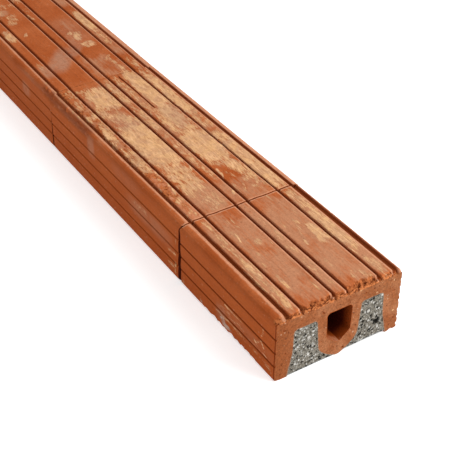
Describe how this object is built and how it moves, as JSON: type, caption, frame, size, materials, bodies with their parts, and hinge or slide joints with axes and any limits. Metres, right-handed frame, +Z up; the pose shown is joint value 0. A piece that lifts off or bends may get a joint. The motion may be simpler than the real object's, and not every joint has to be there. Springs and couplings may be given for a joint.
{
  "type": "ceramic lintel",
  "caption": "Straight composite lintel of fired clay shells laid end to end, with concrete-filled channels beside a hollow web, that spans an opening in a masonry wall.",
  "frame": {"origin": "middle of the underside", "axes": "+X along the lintel to its front sawn end, +Y to the right of a person who faces that end, +Z up through the keyed crown"},
  "size_m": [1, 0.117, 0.06],
  "materials": {
    "fired_clay": "unglazed extruded and fired clay, matt, with pale mortar dust on the crown",
    "cast_concrete": "sawn fine concrete, matt, with light grains and small voids",
    "wire_steel": "sawn wire end, dull"
  },
  "bodies": {
    "root": {"clay_shell_1": "fired_clay", "clay_shell_2": "fired_clay", "clay_shell_3": "fired_clay", "clay_shell_4": "fired_clay", "clay_shell_5": "fired_clay", "concrete_core_left": "cast_concrete", "concrete_core_right": "cast_concrete", "tension_wire_left": "wire_steel", "tension_wire_right": "wire_steel"}
  },
  "joints": []
}
